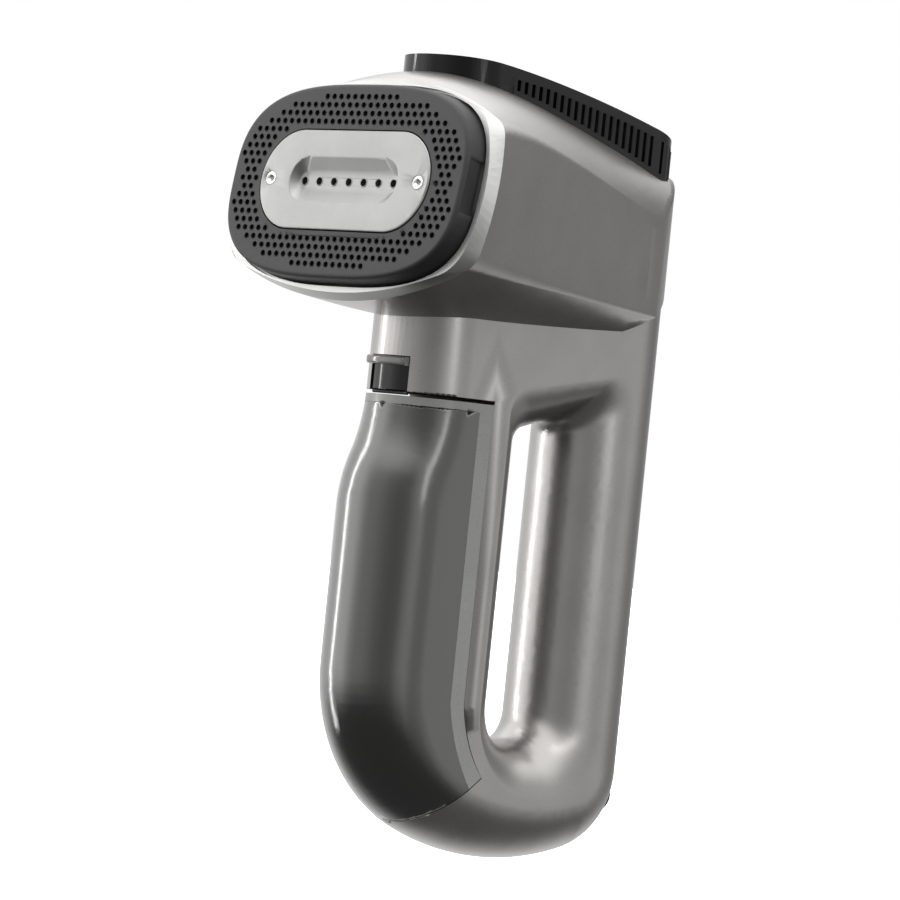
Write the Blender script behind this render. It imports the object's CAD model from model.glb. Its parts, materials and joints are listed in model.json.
# %% [markdown]
# # A handheld garment steamer with a suction head
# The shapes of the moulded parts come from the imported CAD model, which is the fixed frame.
# Here each visible part gets the finish of the real material, and the small repeated
# details that moulds and tools leave behind are made with Geometry Nodes.

# %% The frame and its measures
import json
import math

import bmesh
import bpy
from mathutils import Matrix, Vector


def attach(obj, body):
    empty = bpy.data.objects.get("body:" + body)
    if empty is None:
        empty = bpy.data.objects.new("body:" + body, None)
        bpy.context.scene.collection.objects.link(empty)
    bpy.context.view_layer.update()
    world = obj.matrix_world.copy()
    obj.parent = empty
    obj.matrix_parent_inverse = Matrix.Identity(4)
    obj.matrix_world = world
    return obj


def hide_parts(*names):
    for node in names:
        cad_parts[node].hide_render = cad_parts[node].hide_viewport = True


MM = 0.001
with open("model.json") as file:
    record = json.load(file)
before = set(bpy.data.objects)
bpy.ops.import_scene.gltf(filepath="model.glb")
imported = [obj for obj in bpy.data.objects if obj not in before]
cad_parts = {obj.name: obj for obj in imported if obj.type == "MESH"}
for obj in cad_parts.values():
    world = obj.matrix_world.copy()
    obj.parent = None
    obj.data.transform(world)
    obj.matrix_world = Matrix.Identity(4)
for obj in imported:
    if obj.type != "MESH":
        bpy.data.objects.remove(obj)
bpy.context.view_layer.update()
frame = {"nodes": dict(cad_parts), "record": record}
node_body = {node: body for body, nodes in frame["record"]["behaviour"]["bodies"].items()
             for node in nodes}

# %% [markdown]
# Everything on the steaming face is laid out on one leaning plane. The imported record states
# that plane as the mount called steam_face, so its position and direction are taken from
# there, and a matrix turns flat drawings on the face into places in the row frame.

# %% The plane of the steaming face
PLATE_PROUD = 0.6 * MM
steam_mount = next(m for m in frame["record"]["mounts"] if m["name"] == "steam_face")
face_out = Vector(steam_mount["axis"]).normalized()
face_up = face_out.cross(Vector((1, 0, 0))).normalized()
if face_up.z < 0:
    face_up = -face_up
face_centre = Vector((0, *steam_mount["pos_m"][1:])) - face_out * PLATE_PROUD
face_place = Matrix((Vector((1, 0, 0)), face_up, face_out)).transposed().to_4x4()
face_place.translation = face_centre
print("face centre", [round(v / MM, 1) for v in face_centre])

# %% [markdown]
# ## Tools for materials
# Colours are written as the hex values that a colour picker shows. Those are sRGB, and the
# shaders work in linear light, so one function turns the first into the second.
# A second small function adds a node, sets it and links it, so that each material below
# reads as a short list of what it is made of.


# %% Colours and nodes
def linear(hex_colour):
    """An sRGB hex colour as the linear RGBA that shaders use."""
    parts = [int(hex_colour[i:i + 2], 16) / 255 for i in (1, 3, 5)]
    return [p / 12.92 if p <= 0.04045 else ((p + 0.055) / 1.055) ** 2.4 for p in parts] + [1.0]


def add_node(tree, kind, values=None, **settings):
    """Adds a node. A value that is a socket is linked, and any other value is set."""
    made = tree.nodes.new(kind)
    for name, setting in settings.items():
        setattr(made, name, setting)
    for name, value in (values or {}).items():
        socket = made.inputs[name]
        if isinstance(value, bpy.types.NodeSocket):
            tree.links.new(value, socket)
        else:
            socket.default_value = value
    return made


def new_material(name, **principled):
    """A material with one Principled shader, its constant values set on its own sockets."""
    material = bpy.data.materials.new(name)
    material.use_nodes = True
    shader = material.node_tree.nodes["Principled BSDF"]
    for socket, value in principled.items():
        shader.inputs[socket.replace("_", " ")].default_value = value
    return material, material.node_tree, shader


# %% [markdown]
# Almost every moulded or blasted surface has a fine grain that breaks up its reflections.
# The grain is a noise whose size is given in millimetres. It feeds the bump and moves the
# roughness and the colour a little, because real lacquer and plastic are never quite even.


# %% Grain for moulded, sprayed and blasted surfaces
def grain(tree, size_mm, detail=2.0, stretch=(1, 1, 1)):
    """A noise between 0 and 1 with features of about size_mm, fixed to the piece."""
    place = add_node(tree, "ShaderNodeTexCoord")
    turned = add_node(tree, "ShaderNodeMapping", {"Vector": place.outputs["Object"],
                                                  "Scale": stretch})
    made = add_node(tree, "ShaderNodeTexNoise",
                    {"Vector": turned.outputs["Vector"], "Scale": 1 / (size_mm * MM),
                     "Detail": detail})
    return made.outputs["Fac"]


def between(tree, factor, low, high):
    """Maps the middle of a noise, 0.3 to 0.7, to the range from low to high."""
    made = add_node(tree, "ShaderNodeMapRange",
                    {"Value": factor, "From Min": 0.3, "From Max": 0.7,
                     "To Min": low, "To Max": high})
    return made.outputs["Result"]


def tinted(tree, factor, first, second):
    """A colour between two hex colours."""
    made = add_node(tree, "ShaderNodeMix", {0: factor, 6: linear(first), 7: linear(second)},
                    data_type="RGBA")
    return made.outputs[2]


def surface(name, colours, grain_mm, roughness, bump_mm, patch_mm=18.0, detail=2.0, **principled):
    """A surface with a fine grain for its bump and roughness, and soft patches of colour."""
    material, tree, shader = new_material(name, **principled)
    fine, soft = grain(tree, grain_mm, detail), grain(tree, patch_mm, 3.0)
    tree.links.new(tinted(tree, between(tree, soft, 0, 1), *colours), shader.inputs["Base Color"])
    tree.links.new(between(tree, fine, *roughness), shader.inputs["Roughness"])
    bump = add_node(tree, "ShaderNodeBump", {"Height": fine, "Distance": bump_mm * MM,
                                             "Strength": 1.0})
    tree.links.new(bump.outputs["Normal"], shader.inputs["Normal"])
    return material


# %% [markdown]
# ## Finishes of the housing
# The housing is ABS, sprayed with a lacquer full of aluminium flakes and a satin clear coat.
# The flakes make it behave like a rough metal; they are 0.02 to 0.05 mm in reality and are
# drawn at 0.3 mm, as coarse as they need to be to show. The bezel has the same lacquer in a
# brighter batch.

# %% Sprayed metallic lacquers
satin_silver_lacquer = surface(
    "satin_silver_lacquer", ("#918f8d", "#979593"), 0.3, (0.27, 0.33), 0.0012,
    Metallic=0.9, Coat_Weight=0.25, Coat_Roughness=0.22)
bright_silver_lacquer = surface(
    "bright_silver_lacquer", ("#a8a8a7", "#b0b0af"), 0.3, (0.30, 0.36), 0.001,
    Metallic=0.85, Coat_Weight=0.2, Coat_Roughness=0.25)

# %% [markdown]
# The suction grille is charcoal ABS out of a spark-eroded mould. Spark erosion leaves a fine
# even grain of about 0.2 mm, drawn here at 0.35 mm so that it shows. It makes the plastic look
# matt and a little soft. The other plastics are polished or satin and have finer grains, which
# are drawn coarser in the same way.

# %% Moulded plastics
spark_eroded_abs = surface(
    "spark_eroded_abs", ("#1f1f20", "#242425"), 0.35, (0.50, 0.62), 0.012, IOR=1.45)
polished_black_abs = surface(
    "polished_black_abs", ("#070707", "#0b0b0b"), 1.6, (0.10, 0.15), 0.0004, patch_mm=30,
    IOR=1.53, Specular_IOR_Level=0.22)
satin_black_abs = surface(
    "satin_black_abs", ("#080808", "#0c0c0c"), 0.4, (0.30, 0.40), 0.002, IOR=1.53,
    Specular_IOR_Level=0.25)
half_gloss_grey_abs = surface(
    "half_gloss_grey_abs", ("#7c7c7a", "#828280"), 0.5, (0.26, 0.34), 0.002, IOR=1.53)
glass_filled_nylon = surface(
    "glass_filled_nylon", ("#232323", "#2b2b2a"), 0.6, (0.45, 0.60), 0.01, IOR=1.53)
white_polyamide = surface(
    "white_polyamide", ("#d6d4cd", "#dedcd6"), 0.5, (0.40, 0.50), 0.006, IOR=1.53)

# %% [markdown]
# The steam plate is machined aluminium, blasted with glass beads. The beads leave overlapping
# dimples of 0.1 to 0.3 mm, drawn at 0.3 mm, so light spreads evenly in all directions. The
# steam chamber behind
# it is die cast and rougher. Both keep the default IOR, as metals do here.

# %% Metals
bead_blasted_aluminium = surface(
    "bead_blasted_aluminium", ("#8d8d8c", "#949493"), 0.3, (0.45, 0.55), 0.01, Metallic=1.0)
die_cast_aluminium = surface(
    "die_cast_aluminium", ("#93918e", "#a5a3a0"), 1.2, (0.42, 0.60), 0.03, Metallic=1.0)
zinc_plated_steel = surface(
    "zinc_plated_steel", ("#c4c4c3", "#d4d4d2"), 0.6, (0.16, 0.26), 0.002, Metallic=1.0)

# %% [markdown]
# Rubber and silicone parts are soft and dull. The circuit board is covered in solder mask.

# %% Rubbers and small parts
nitrile_rubber = surface(
    "nitrile_rubber", ("#1a1a1a", "#202020"), 0.5, (0.55, 0.70), 0.01, IOR=1.52)
red_silicone = surface(
    "red_silicone", ("#9a3b2c", "#a54434"), 0.6, (0.45, 0.55), 0.006, IOR=1.41)
milky_silicone = surface(
    "milky_silicone", ("#cfcdc4", "#d9d7cf"), 0.8, (0.35, 0.45), 0.004, IOR=1.41)
solder_mask = surface(
    "solder_mask", ("#0f4a2a", "#125232"), 0.8, (0.25, 0.35), 0.004, IOR=1.53)

# %% [markdown]
# The water tank is injection moulded in smoke-tinted SAN, a clear plastic. Its
# polish is drawn a little soft, and most of its light passes through, so that the tint darkens
# what lies behind it.

# %% Tinted clear plastics
smoked_san = surface(
    "smoked_san", ("#2e2d2b", "#343331"), 2.0, (0.16, 0.22), 0.0006, patch_mm=40,
    IOR=1.57, Transmission_Weight=0.7, Coat_Weight=0.7, Coat_IOR=1.8, Coat_Roughness=0.2)
clear_grey_san = surface(
    "clear_grey_san", ("#a9a9a7", "#b3b3b1"), 1.5, (0.10, 0.14), 0.0006,
    IOR=1.57, Transmission_Weight=0.6)
frosted_lens = surface(
    "frosted_lens", ("#dfe3e8", "#e8ebee"), 0.6, (0.25, 0.35), 0.002,
    IOR=1.57, Transmission_Weight=0.4)

slot_finish = {
    "silver_paint": satin_silver_lacquer, "bezel_silver": bright_silver_lacquer,
    "grille_black": spark_eroded_abs, "plate_aluminium": bead_blasted_aluminium,
    "cast_aluminium": die_cast_aluminium, "steel": zinc_plated_steel,
    "gasket_rubber": red_silicone, "seal_rubber": nitrile_rubber,
    "gloss_black": polished_black_abs, "vent_black": satin_black_abs,
    "tank_smoke": smoked_san, "frame_grey": half_gloss_grey_abs,
    "lip_grey": clear_grey_san, "inner_plastic": glass_filled_nylon,
    "white_plastic": white_polyamide, "board_green": solder_mask,
    "silicone_tube": milky_silicone, "lens_white": frosted_lens,
}
node_slot = {p["node"]: p["material_slot"] for p in frame["record"]["subparts"]}
print(len(slot_finish), "finishes")

# %% Finishes on the CAD nodes
for node_name, cad_object in frame["nodes"].items():
    for material_slot in cad_object.material_slots:
        material_slot.link = "OBJECT"
        material_slot.material = slot_finish[node_slot[node_name]]

# %% [markdown]
# ## Smooth skins
# A CAD mesh is made of loose flat triangles, which is right for measuring but shows every
# facet in a soft reflection. Each part that can be seen is copied, its triangles are joined,
# and its faces are shaded smooth except across real edges. Normals weighted by face area keep
# flat faces flat up to their rounded edges. The bezel is cut into long thin triangles, so its
# edges count as real at a much smaller angle and its normals go by corner angle.


# %% A smooth copy of a CAD part
MERGE_WITHIN, SLIVER_BELOW = 0.002 * MM, 0.001 * MM


def finish_piece(piece, body, slot, *nodes):
    """Says which body a piece rides on, which slot it has and which nodes it stands for."""
    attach(piece, body)
    if nodes:
        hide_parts(*nodes)
    return piece


def plain_copy(source, name):
    """The evaluated shape of an object as a plain mesh object with no modifiers."""
    bpy.context.view_layer.update()
    evaluated = source.evaluated_get(bpy.context.evaluated_depsgraph_get())
    mesh = bpy.data.meshes.new_from_object(evaluated)
    mesh.name = name
    piece = bpy.data.objects.new(name, mesh)
    bpy.context.collection.objects.link(piece)
    bpy.data.objects.remove(source)
    return piece


def skin(node, edge_angle=32, even_by="FACE_AREA"):
    """A joined and smoothly shaded copy of a CAD node, which takes the node's place."""
    slot = node_slot[node]
    work = bmesh.new()
    work.from_mesh(frame["nodes"][node].data)
    bmesh.ops.remove_doubles(work, verts=work.verts, dist=MERGE_WITHIN)
    bmesh.ops.dissolve_degenerate(work, edges=work.edges, dist=SLIVER_BELOW)
    mesh = bpy.data.meshes.new(node + "_skin")
    work.to_mesh(mesh)
    work.free()
    mesh.polygons.foreach_set("use_smooth", [True] * len(mesh.polygons))
    mesh.set_sharp_from_angle(angle=math.radians(edge_angle))
    mesh.materials.clear()
    mesh.materials.append(slot_finish[slot])
    made = bpy.data.objects.new(node + "_work", mesh)
    bpy.context.collection.objects.link(made)
    weighted = made.modifiers.new("even shading", "WEIGHTED_NORMAL")
    weighted.mode, weighted.keep_sharp = even_by, True
    made = plain_copy(made, node + "_skin")
    return finish_piece(made, node_body[node], slot, node)


# %% Skins of the visible parts
BEZEL_EDGE_ANGLE = 9
visible = ["loop_shell", "head_housing", "suction_grille", "steam_plate",
           "plate_screws", "top_panel", "exhaust_vent", "power_button", "mode_button",
           "indicator_lens", "water_tank", "tank_frame", "latch_block", "latch_lip",
           "cord_gland", "fill_plug", "tank_valve", "suction_pipe", "steam_button"]
skins = {node: skin(node) for node in visible}
skins["front_bezel"] = skin("front_bezel", edge_angle=BEZEL_EDGE_ANGLE,
                           even_by="CORNER_ANGLE")
print(len(skins), "skins,", sum(len(s.data.polygons) for s in skins.values()), "faces")

# %% [markdown]
# ## Small repeated details
# Two Geometry Nodes trees make them, a ring and a bead, each with named inputs. The functions
# here begin and end a tree, make a start mesh that holds nothing but places or lines, and run
# a tree on it and keep the result as a plain mesh.


# %% Tools for Geometry Nodes
def new_tree(name, *inputs):
    """A Geometry Nodes tree with named inputs after its geometry, and its input node."""
    tree = bpy.data.node_groups.new(name, "GeometryNodeTree")
    tree.interface.new_socket("Geometry", in_out="INPUT", socket_type="NodeSocketGeometry")
    for label, kind in inputs:
        tree.interface.new_socket(label, in_out="INPUT", socket_type="NodeSocket" + kind)
    tree.interface.new_socket("Geometry", in_out="OUTPUT", socket_type="NodeSocketGeometry")
    return tree, tree.nodes.new("NodeGroupInput").outputs


def finished(tree, geometry, material):
    """Ends a tree: instances become real, the finish is set, and the geometry goes out."""
    real = add_node(tree, "GeometryNodeRealizeInstances", {"Geometry": geometry})
    smooth = add_node(tree, "GeometryNodeSetShadeSmooth", {"Geometry": real.outputs[0]})
    coated = add_node(tree, "GeometryNodeSetMaterial", {"Geometry": smooth.outputs[0],
                                                        "Material": material})
    add_node(tree, "NodeGroupOutput", {"Geometry": coated.outputs[0]})
    return tree


def start_mesh(name, points, edges=()):
    """An object that holds only places, or lines between places."""
    mesh = bpy.data.meshes.new(name)
    mesh.from_pydata([tuple(p) for p in points], list(edges), [])
    made = bpy.data.objects.new(name, mesh)
    bpy.context.collection.objects.link(made)
    return made


def grown(source, tree, name, body, slot, **inputs):
    """Runs a tree on a start mesh and keeps the result as a plain piece of one body."""
    modifier = source.modifiers.new(tree.name, "NODES")
    modifier.node_group = tree
    given = {"Material": slot_finish[slot], **{k.replace("_", " "): v for k, v in inputs.items()}}
    for socket in tree.interface.items_tree:
        if socket.in_out == "INPUT" and socket.name in given:
            modifier[socket.identifier] = given[socket.name]
    piece = plain_copy(source, name)
    print(name, len(piece.data.polygons), "faces")
    return finish_piece(piece, body, slot)


# %% [markdown]
# A ring is a small circle swept round a larger one. The tree puts one on every place of the
# start mesh, with its axis turned along the given direction. A few segments are enough: the
# rings are only a millimetre or two across.

# %% Tree: a ring on every place
ring_tree, given = new_tree("ring_on_every_place", ("Radius", "Float"), ("Thickness", "Float"),
                            ("Segments", "Int"), ("Sides", "Int"), ("Facing", "Vector"),
                            ("Material", "Material"))
ring_path = add_node(ring_tree, "GeometryNodeCurvePrimitiveCircle",
                     {"Resolution": given["Segments"], "Radius": given["Radius"]})
ring_section = add_node(ring_tree, "GeometryNodeCurvePrimitiveCircle",
                        {"Resolution": given["Sides"], "Radius": given["Thickness"]})
ring = add_node(ring_tree, "GeometryNodeCurveToMesh",
                {"Curve": ring_path.outputs["Curve"],
                 "Profile Curve": ring_section.outputs["Curve"]})
facing = add_node(ring_tree, "FunctionNodeAlignRotationToVector", {"Vector": given["Facing"]},
                  axis="Z")
rings = add_node(ring_tree, "GeometryNodeInstanceOnPoints",
                 {"Points": given["Geometry"], "Instance": ring.outputs["Mesh"],
                  "Rotation": facing.outputs[0]})
finished(ring_tree, rings.outputs[0], given["Material"])
print(len(ring_tree.nodes), "nodes in", ring_tree.name)

# %% [markdown]
# A bead is a rod with a round section that follows the lines of the start mesh and is closed
# at its ends. It serves for the noses of ribs and for a rubber cord.

# %% Tree: a bead along every line
bead_tree, given = new_tree("bead_along_every_line", ("Thickness", "Float"), ("Sides", "Int"),
                            ("Material", "Material"))
bead_path = add_node(bead_tree, "GeometryNodeMeshToCurve", {"Mesh": given["Geometry"]})
bead_section = add_node(bead_tree, "GeometryNodeCurvePrimitiveCircle",
                        {"Resolution": given["Sides"], "Radius": given["Thickness"]})
bead = add_node(bead_tree, "GeometryNodeCurveToMesh",
                {"Curve": bead_path.outputs[0], "Profile Curve": bead_section.outputs["Curve"],
                 "Fill Caps": True})
finished(bead_tree, bead.outputs["Mesh"], given["Material"])
print(len(bead_tree.nodes), "nodes in", bead_tree.name)

# %% [markdown]
# The grille is full of round air holes on a staggered grid with a 3.4 mm pitch. Each hole has
# a softly rounded lip, because the pins that core the holes sit in a slightly countersunk face
# of the mould. The lip is assumed, and stands 0.12 mm proud.

# %% Lips of the air holes
AIR_PITCH, AIR_RADIUS, LIP, LIP_SINK = 3.4 * MM, 1.02 * MM, 0.14 * MM, 0.02 * MM
ROW_STEP = AIR_PITCH * math.sqrt(3) / 2
air_rows = [(10, 0, 5), (9, 0.5, 9.5), (8, 0, 11), (7, 0.5, 12.5), (6, 10, 14), (5, 11.5, 14.5),
            (4, 12, 15), (3, 12.5, 15.5), (2, 13, 15), (1, 13.5, 14.5), (0, 13, 15)]


def on_face(across, up, depth=0.0):
    """A place on the steaming face, a depth behind it."""
    return face_place @ Vector((across, up, -depth))


def air_places():
    """The middles of all air holes, mirrored to both sides and both halves."""
    for row, first, last in air_rows:
        for index in range(round(last - first) + 1):
            across = (first + index) * AIR_PITCH
            for side in {1, -1 if across else 1}:
                for level in {row, -row}:
                    yield on_face(side * across, level * ROW_STEP, LIP_SINK)


grown(start_mesh("air_hole_places", air_places()), ring_tree, "air_hole_lips", "grille",
      "grille_black", Radius=AIR_RADIUS + LIP * 0.4, Thickness=LIP, Segments=14, Sides=4,
      Facing=face_out)

# %% [markdown]
# The seven steam holes are drilled along the floor of the trough, and each drill leaves a thin
# raised burr that is rolled round. The two plate screws sit in counterbores with a fine rim in
# the same finish as the plate. The burrs and the rims are assumed.

# %% Rims of the steam holes and of the screw seats
STEAM_HOLES, STEAM_PITCH, STEAM_RADIUS, TROUGH = 7, 7.25 * MM, 1.4 * MM, 2.4 * MM
SCREW_X, SEAT_RADIUS, SEAT_RIM = 36.0 * MM, 2.5 * MM, 0.1 * MM
BURR_GAP, BURR = 0.1 * MM, 0.18 * MM
steam_places = [on_face((n - STEAM_HOLES // 2) * STEAM_PITCH, 0, TROUGH)
                for n in range(STEAM_HOLES)]
grown(start_mesh("steam_hole_places", steam_places), ring_tree, "steam_hole_rims",
      node_body["steam_plate"], "plate_aluminium", Radius=STEAM_RADIUS + BURR_GAP,
      Thickness=BURR, Segments=32, Sides=8, Facing=face_out)
seat_places = [on_face(side * SCREW_X, 0, -PLATE_PROUD) for side in (-1, 1)]
grown(start_mesh("screw_seat_places", seat_places), ring_tree, "screw_seat_rims",
      node_body["steam_plate"], "plate_aluminium", Radius=SEAT_RADIUS, Thickness=SEAT_RIM,
      Segments=48, Sides=8, Facing=face_out)

# %% [markdown]
# The exhaust air leaves through slots along both sides of the strip on top of the head. The
# ribs between the slots have rounded noses, as moulded ribs need so that the tool can be
# polished. Each nose is a bead from the bottom of a slot to its top.

# %% Noses of the vent's ribs
STRIP_HALF, STRIP_REAR, STRIP_CAP = 20.0, 18.6, 2.6
VENT_FRONT, VENT_PITCH, VENT_SLOT, VENT_START = -77.0, 3.7, 1.7, 1.6
SLOT_ROOF, SLOT_HEIGHT, SLOT_GROWTH = 0.7, 3.6, 0.1
NOSE_RADIUS, NOSE_SINK = 0.85 * MM, 0.55
SPOKE_FIRST, SPOKE_LAST, SPOKE_STEP = -74, 75, 11
rear_centre = STRIP_REAR - STRIP_HALF
crest = [(-130, 176.0), (-100, 177.6), (-60, 174.7), (-20, 168.6), (0, 164.6), (30, 157.5)]


def slot_reach(y):
    """The bottom and top of a vent slot at a place along the strip, in millimetres."""
    (y0, z0), (y1, z1) = next(pair for pair in zip(crest, crest[1:]) if y <= pair[1][0])
    high = z0 + (z1 - z0) * (y - y0) / (y1 - y0) - STRIP_CAP - SLOT_ROOF
    return high - SLOT_HEIGHT - SLOT_GROWTH * (y - VENT_FRONT), high


def rib_lines():
    """The foot and head of every rib's nose, first along the sides and then round the rear."""
    nose = STRIP_HALF - NOSE_SINK
    for index in range(int((rear_centre - VENT_FRONT) / VENT_PITCH) - 1):
        y = VENT_FRONT + VENT_START + VENT_SLOT / 2 + (index + 0.5) * VENT_PITCH
        low, high = slot_reach(y)
        for side in (-1, 1):
            yield Vector((side * nose, y, low)) * MM, Vector((side * nose, y, high)) * MM
    for turn in range(SPOKE_FIRST, SPOKE_LAST, SPOKE_STEP):
        angle = math.radians(turn)
        y = rear_centre + STRIP_HALF * math.cos(angle)
        low, high = slot_reach(y)
        across, along = nose * math.sin(angle), rear_centre + nose * math.cos(angle)
        yield Vector((across, along, low)) * MM, Vector((across, along, high)) * MM


ends = [end for line in rib_lines() for end in line]
grown(start_mesh("rib_lines", ends, [(n, n + 1) for n in range(0, len(ends), 2)]), bead_tree,
      "vent_rib_noses", node_body["exhaust_vent"], "vent_black", Thickness=NOSE_RADIUS, Sides=12)

# %% [markdown]
# Light would pass through the narrow gap between the latch block and the tank. A thin rubber
# cord covers it. This cord is an assumption: the block has no groove for it, so it lies 0.2 mm
# below the block, and it moves with the latch.

# %% Cord under the latch block
CORD_Y, CORD_Z, CORD_REACH, CORD_RADIUS = -102.0 * MM, 60.75 * MM, 8.4 * MM, 0.65 * MM
grown(start_mesh("latch_cord_line", [(-CORD_REACH, CORD_Y, CORD_Z), (CORD_REACH, CORD_Y, CORD_Z)],
                 [(0, 1)]), bead_tree, "latch_cord", node_body["latch_block"], "seal_rubber",
      Thickness=CORD_RADIUS, Sides=16)

# %% [markdown]
# ## The camera
# The camera stands well back with a long lens, so that the object keeps its true shape, and it
# is rolled a little, which gives the steamer its lively lean. Its three directions are also
# used to place the lights.

# %% Camera
middle = Vector((0, -0.05, 0.04))
camera_right = Vector((0.7064, 0.7006, 0.1009))
camera_up = Vector((-0.0686, -0.0741, 0.9949))
camera_back = Vector((0.7045, -0.7097, -0.0042))
camera = bpy.data.objects.new("camera", bpy.data.cameras.new("camera"))
camera.data.lens, camera.data.sensor_width = 164, 36
turn = Matrix((camera_right, camera_up, camera_back)).transposed()
camera.matrix_world = Matrix.Translation((1.0094, -1.0870, 0.0369)) @ turn.to_4x4()
bpy.context.collection.objects.link(camera)
bpy.context.scene.camera = camera
bpy.context.scene.view_settings.view_transform = "Standard"

# %% [markdown]
# ## The studio
# A product studio hangs pale cloth and black flags around the object, and lets it reflect
# them: in satin metal the surroundings are most of what is seen. The world stands for the
# cloth. Its brightness follows the direction around the object, from a curve of steps
# written as degrees to the right of the camera and a brightness. Overhead it is bright, and
# below it is dark in front and bright behind.

# %% The cloth around the object
CLOTH_TOP = 4.0
OVERHEAD = 2.3
cloth = [(-180, 0.9), (-140, 1.1), (-118, 1.5), (-98, 2.0), (-82, 2.3), (-70, 1.5), (-57, 1.0),
         (-40, 0.95), (-20, 0.62), (0, 0.45), (18, 0.52), (34, 1.08), (46, 1.2), (60, 0.76),
         (78, 0.76), (95, 1.1), (104, 0.7), (120, 0.38), (140, 0.3), (160, 0.5), (180, 0.9)]


def dot_with(tree, vector, direction):
    """The part of a vector along a direction."""
    made = add_node(tree, "ShaderNodeVectorMath", {0: vector, 1: direction},
                    operation="DOT_PRODUCT")
    return made.outputs["Value"]


def fitted(tree, value, low, high, out_low, out_high):
    """Maps a value smoothly from one range to another."""
    made = add_node(tree, "ShaderNodeMapRange",
                    {"Value": value, "From Min": low, "From Max": high,
                     "To Min": out_low, "To Max": out_high}, interpolation_type="SMOOTHSTEP")
    return made.outputs["Result"]


def mixed_value(tree, factor, first, second):
    """A value between two values."""
    made = add_node(tree, "ShaderNodeMix", {0: factor, 2: first, 3: second})
    return made.outputs[0]


world = bpy.data.worlds.new("studio")
bpy.context.scene.world = world
world.use_nodes = True
tree = world.node_tree
tree.nodes.clear()
looking = add_node(tree, "ShaderNodeTexCoord").outputs["Generated"]
rightwards = dot_with(tree, looking, camera_right.to_2d().normalized().to_3d())
towards = dot_with(tree, looking, camera_back.to_2d().normalized().to_3d())
height = dot_with(tree, looking, (0, 0, 1))
around = add_node(tree, "ShaderNodeMath", {0: rightwards, 1: towards}, operation="ARCTAN2")
share = add_node(tree, "ShaderNodeMapRange", {"Value": around.outputs[0], "From Min": -math.pi,
                                              "From Max": math.pi})
ramp = add_node(tree, "ShaderNodeValToRGB", {"Fac": share.outputs["Result"]})
steps = ramp.color_ramp.elements
while len(steps) > 1:
    steps.remove(steps[-1])
for number, (degrees, brightness) in enumerate(cloth):
    step = steps[0] if number == 0 else steps.new(degrees / 360 + 0.5)
    step.position = degrees / 360 + 0.5
    step.color = [brightness / CLOTH_TOP] * 3 + [1]
walls = add_node(tree, "ShaderNodeMath", {0: ramp.outputs["Color"], 1: CLOTH_TOP},
                 operation="MULTIPLY").outputs[0]
ground = fitted(tree, towards, -0.25, -0.9, 0.14, 1.15)
lower = mixed_value(tree, fitted(tree, height, -0.5, -0.08, 0, 1), ground, walls)
room_light = mixed_value(tree, fitted(tree, height, 0.3, 0.7, 0, 1), lower, OVERHEAD)
seen = add_node(tree, "ShaderNodeLightPath").outputs["Is Camera Ray"]
backdrop = add_node(tree, "ShaderNodeBackground", {"Color": linear("#ffffff"), "Strength": 1.0})
room = add_node(tree, "ShaderNodeBackground", {"Color": linear("#fffffe"), "Strength": room_light})
shown = add_node(tree, "ShaderNodeMixShader", {0: seen, 1: room.outputs[0], 2: backdrop.outputs[0]})
add_node(tree, "ShaderNodeOutputWorld", {"Surface": shown.outputs[0]})
print(len(cloth), "steps of brightness around the object")

# %% [markdown]
# Three rectangular lights draw the soft-edged highlights: a tall narrow one to the left, a
# softer one to the right of the camera and a wide one overhead. The floor is plain and pale,
# and bright enough to melt into the backdrop.


# %% Lights and floor
def from_camera(right, up, back):
    """A place given from the middle of the object along the camera's own directions."""
    return middle + camera_right * right + camera_up * up + camera_back * back


def soft_light(name, place, width, height, radiance):
    """A rectangular soft light that looks at the object and has a given brightness."""
    lamp = bpy.data.lights.new(name, "AREA")
    lamp.shape, lamp.size, lamp.size_y = "RECTANGLE", width, height
    lamp.energy = radiance * math.pi * width * height
    made = bpy.data.objects.new(name, lamp)
    made.location = place
    made.rotation_mode = "QUATERNION"
    made.rotation_quaternion = (middle - place).to_track_quat("-Z", "Y")
    bpy.context.collection.objects.link(made)
    return made


def studio_floor(height, half_size):
    """A wide pale plane below the object. Reflections see the cloth instead."""
    mesh = bpy.data.meshes.new("studio_floor")
    corners = [(-half_size, -half_size, height), (half_size, -half_size, height),
               (half_size, half_size, height), (-half_size, half_size, height)]
    mesh.from_pydata(corners, [], [(0, 1, 2, 3)])
    material, _, shader = new_material("pale_floor_paint", Roughness=0.9, Emission_Strength=1.0)
    shader.inputs["Base Color"].default_value = linear("#d9d9d7")
    shader.inputs["Emission Color"].default_value = linear("#ffffff")
    mesh.materials.append(material)
    made = bpy.data.objects.new("studio_floor", mesh)
    bpy.context.collection.objects.link(made)
    made.visible_glossy = made.visible_diffuse = made.visible_transmission = False
    return made


soft_light("left_strip_light", from_camera(-1.0, 0.1, -0.27), 0.07, 1.3, 13)
soft_light("right_softbox", from_camera(0.72, 0.35, 0.72), 0.16, 0.8, 2.6)
soft_light("top_softbox", from_camera(-0.2, 1.0, 0.1), 0.8, 0.4, 2.2)
FLOOR_HEIGHT, FLOOR_HALF = -0.2, 6.0
studio_floor(FLOOR_HEIGHT, FLOOR_HALF)
